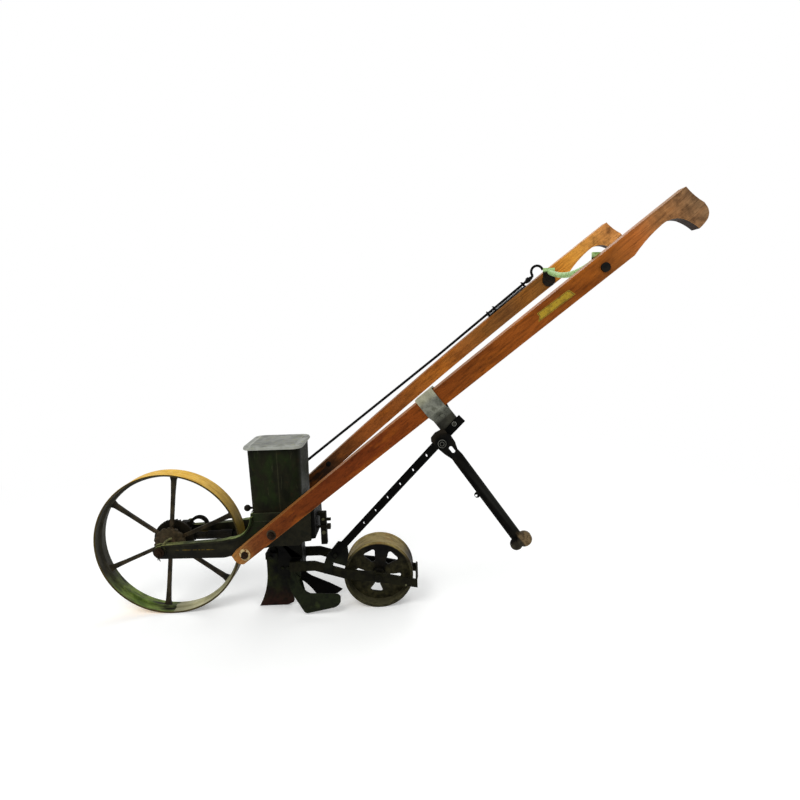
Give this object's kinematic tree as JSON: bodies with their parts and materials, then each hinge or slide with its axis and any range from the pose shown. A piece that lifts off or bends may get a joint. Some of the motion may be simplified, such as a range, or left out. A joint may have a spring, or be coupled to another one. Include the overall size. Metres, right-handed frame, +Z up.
{
  "type": "hand seeder",
  "caption": "Walking one-row seeder: spoked iron drive wheel, seed hopper with lid, furrow opener, press wheel, two bent wooden handles, clutch rod and a hinged leg.",
  "frame": {"origin": "on the ground under the middle of the machine's length, in its middle plane", "axes": "+X rearward from the drive wheel to the grips, +Y to the operator's right, +Z up"},
  "size_m": [1.47, 0.5258, 1.0151],
  "materials": {
    "wheel_paint": "old yellow and green paint, worn and rusty",
    "press_paint": "dull tan paint, worn and rusty",
    "olive_paint": "dark olive enamel with light edges",
    "dark_green": "near black green enamel, chipped",
    "pale_green": "pale green paint",
    "grey_tin": "dull galvanised tin",
    "olive_steel": "oiled steel strap",
    "black_iron": "black iron, oiled",
    "bare_iron": "dark worn iron with rust",
    "handle_wood": "red-brown varnish"
  },
  "bodies": {
    "frame": {"boot": "black_iron", "brace_bracket": "black_iron", "clutch_lever": "black_iron", "clutch_rod": "bare_iron", "clutch_yoke": "black_iron", "covering_blade_left": "black_iron", "covering_blade_right": "black_iron", "fork_bar_left": "black_iron", "fork_bar_right": "black_iron", "frame_arm_left": "olive_paint", "frame_arm_right": "olive_paint", "front_axle": "black_iron", "furrow_opener": "bare_iron", "gate_bar": "black_iron", "gate_screw": "bare_iron", "handle_left": "handle_wood", "handle_lug_left": "black_iron", "handle_lug_right": "black_iron", "handle_right": "handle_wood", "handle_strap": "olive_steel", "hopper": "dark_green", "leg_clamp": "black_iron", "lid_hinge": "black_iron", "opener_clamp": "black_iron", "perforated_bar": "black_iron", "press_axle": "black_iron", "rod_guide": "black_iron", "scraper": "black_iron", "seed_base": "olive_paint", "shaft_bearing": "black_iron", "spreader_brace": "pale_green", "thumb_screw": "black_iron"},
    "drive_wheel": {"drive_wheel": "wheel_paint", "drive_gear": "bare_iron"},
    "drive_shaft": {"drive_shaft": "bare_iron", "drive_pinion": "bare_iron"},
    "press_wheel": {"press_wheel": "press_paint"},
    "lid": {"hopper_lid": "grey_tin"},
    "leg": {"stand_leg": "black_iron"}
  },
  "joints": [
    {"name": "drive_wheel_spin", "type": "hinge", "parent": "frame", "child": "drive_wheel", "pos_m": [-0.54448, 0, 0.1905], "axis": [0, 1, 0], "continuous": true},
    {"name": "drive_shaft_spin", "type": "hinge", "parent": "frame", "child": "drive_shaft", "pos_m": [-0.44448, 0.039, 0.1905], "axis": [1, 0, 0], "continuous": true},
    {"name": "press_wheel_spin", "type": "hinge", "parent": "frame", "child": "press_wheel", "pos_m": [0.00532, 0, 0.0913], "axis": [0, 1, 0], "continuous": true},
    {"name": "lid_swing", "type": "hinge", "parent": "frame", "child": "lid", "pos_m": [-0.24498, 0.0804, 0.4481], "axis": [-1, 0, 0], "range_deg": [0, 105]},
    {"name": "leg_swing", "type": "hinge", "parent": "frame", "child": "leg", "pos_m": [0.17088, -0.23836, 0.4914], "axis": [0, 1, 0], "range_deg": [-50, 75]}
  ],
  "couplings": [
    {"joint": "drive_shaft_spin", "follows": "drive_wheel_spin", "ratio": 4.5}
  ]
}
